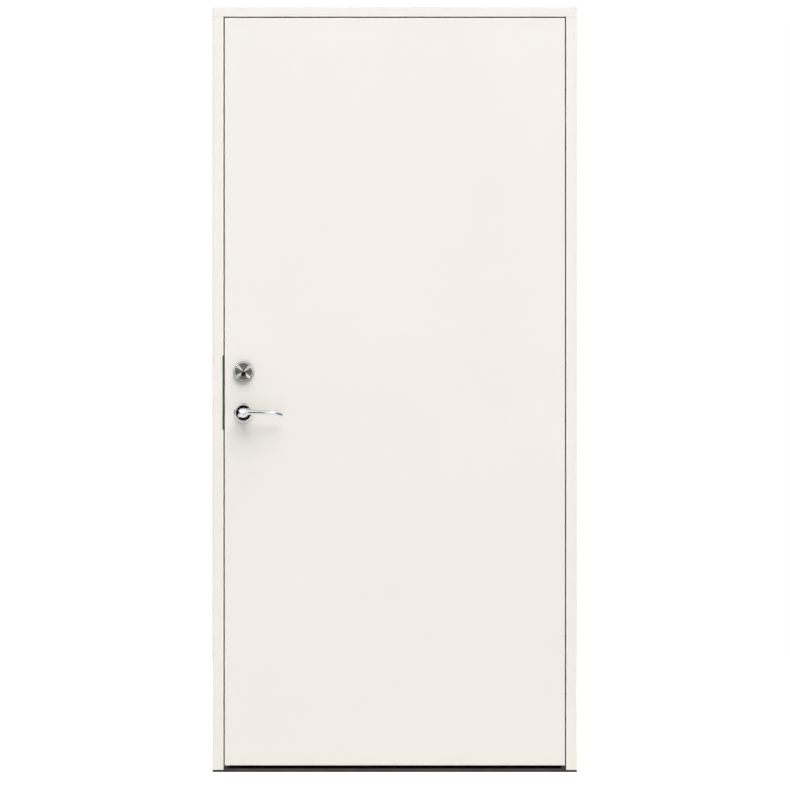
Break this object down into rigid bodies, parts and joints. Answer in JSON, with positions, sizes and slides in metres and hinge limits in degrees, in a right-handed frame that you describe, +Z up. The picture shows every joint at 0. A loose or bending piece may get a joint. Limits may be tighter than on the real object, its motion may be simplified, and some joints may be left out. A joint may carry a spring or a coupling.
{
  "type": "front door",
  "caption": "Flush outward-opening front door leaf in a rebated timber frame, with a low sill, hidden hinges, a lever handle and a round lock cylinder.",
  "frame": {"origin": "centre of the sill's underside, at half the frame's width and depth", "axes": "+X to the right as the door is seen from outside, with the lock at -X and the hinges at +X, +Y into the building, +Z up"},
  "size_m": [0.99, 0.1832, 2.08],
  "materials": {
    "painted_leaf": "smooth off-white lacquer",
    "painted_frame": "smooth off-white lacquer",
    "insulation": "rigid foam",
    "dark_aluminium": "dark anodised",
    "seal_rubber": "matt",
    "seal_foam": "matt foam",
    "brushed_stainless": "brushed",
    "polished_chrome": "polished",
    "satin_chrome": "satin",
    "satin_cups": "satin grey",
    "hinge_steel": "satin",
    "zinc_steel": "zinc plated",
    "nickel_bolts": "nickel plated",
    "cylinder_brass": "machined"
  },
  "bodies": {
    "frame": {"frame_head": "painted_frame", "lock_jamb": "painted_frame", "hinge_jamb": "painted_frame", "sill": "dark_aluminium", "sill_pad_lock_side": "seal_foam", "sill_pad_hinge_side": "seal_foam", "strike_plate": "brushed_stainless", "fixing_sleeves_lock_side": "zinc_steel", "fixing_sleeves_hinge_side": "zinc_steel", "seal_lock_side": "seal_rubber", "seal_hinge_side": "seal_rubber", "seal_head": "seal_rubber", "seal_sill": "seal_rubber", "hinge_cup_frame_bottom": "satin_cups", "hinge_cup_frame_middle": "satin_cups", "hinge_cup_frame_top": "satin_cups"},
    "leaf": {"outer_skin": "painted_leaf", "inner_skin": "painted_leaf", "lock_stile": "painted_frame", "hinge_stile": "painted_frame", "top_rail": "painted_frame", "bottom_rail": "painted_frame", "leaf_core": "insulation", "lock_case": "zinc_steel", "latch_bolt": "nickel_bolts", "hook_bolt": "nickel_bolts", "hinge_cup_leaf_bottom": "satin_cups", "hinge_cup_leaf_middle": "satin_cups", "hinge_cup_leaf_top": "satin_cups", "cylinder_ring": "satin_chrome", "cylinder": "brushed_stainless", "turn_ring": "satin_chrome", "thumb_turn": "polished_chrome", "outer_rose": "polished_chrome", "inner_rose": "polished_chrome"},
    "levers": {"outer_lever": "polished_chrome", "inner_lever": "polished_chrome", "spindle": "zinc_steel"},
    "plug": {"cylinder_plug": "cylinder_brass"},
    "arms_bottom": {"hinge_arms_bottom": "hinge_steel"},
    "arms_middle": {"hinge_arms_middle": "hinge_steel"},
    "arms_top": {"hinge_arms_top": "hinge_steel"}
  },
  "joints": [
    {"name": "leaf_swing", "type": "hinge", "parent": "frame", "child": "leaf", "pos_m": [0.464, -0.0545, 1.034], "axis": [0, 0, 1], "range_deg": [0, 105]},
    {"name": "hinge_slide_bottom", "type": "hinge", "parent": "frame", "child": "arms_bottom", "pos_m": [0.464, -0.0545, 0.29], "axis": [0, 0, 1], "range_deg": [0, 52.5]},
    {"name": "hinge_slide_middle", "type": "hinge", "parent": "frame", "child": "arms_middle", "pos_m": [0.464, -0.0545, 1.034], "axis": [0, 0, 1], "range_deg": [0, 52.5]},
    {"name": "hinge_slide_top", "type": "hinge", "parent": "frame", "child": "arms_top", "pos_m": [0.464, -0.0545, 1.778], "axis": [0, 0, 1], "range_deg": [0, 52.5]},
    {"name": "lever_turn", "type": "hinge", "parent": "leaf", "child": "levers", "pos_m": [-0.411, -0.0215, 0.9765], "axis": [0, 1, 0], "range_deg": [0, 45], "stiffness_Nm_per_rad": 1.2, "springref_deg": -22.92},
    {"name": "plug_turn", "type": "hinge", "parent": "leaf", "child": "plug", "pos_m": [-0.411, -0.048, 1.0817], "axis": [0, 1, 0], "continuous": true}
  ],
  "couplings": [
    {"joint": "hinge_slide_bottom", "follows": "leaf_swing", "ratio": 0.5},
    {"joint": "hinge_slide_middle", "follows": "leaf_swing", "ratio": 0.5},
    {"joint": "hinge_slide_top", "follows": "leaf_swing", "ratio": 0.5}
  ]
}
